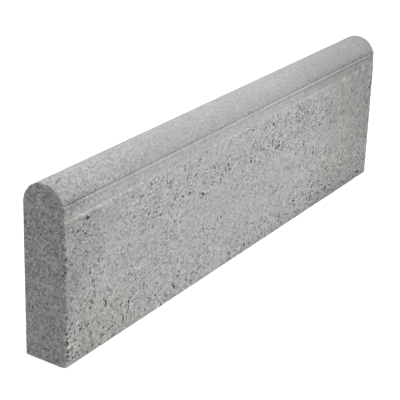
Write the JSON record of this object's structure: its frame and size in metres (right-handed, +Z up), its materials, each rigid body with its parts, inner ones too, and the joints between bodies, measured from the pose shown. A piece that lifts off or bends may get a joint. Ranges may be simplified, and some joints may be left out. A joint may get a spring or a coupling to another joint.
{
  "type": "concrete kerb stone",
  "caption": "Tall narrow concrete edging kerb with a half-round head, a pressed seam along its face, and flat ends and base.",
  "frame": {"origin": "middle of the base the kerb stands on", "axes": "+X along the kerb, -Y out of the face with the seam, +Y out of the back, +Z up to the round head"},
  "size_m": [1, 0.0839, 0.3],
  "materials": {
    "concrete": "bare grey precast concrete, matt and grainy, with small open pits"
  },
  "bodies": {
    "root": {"kerb_stone": "concrete"}
  },
  "joints": []
}
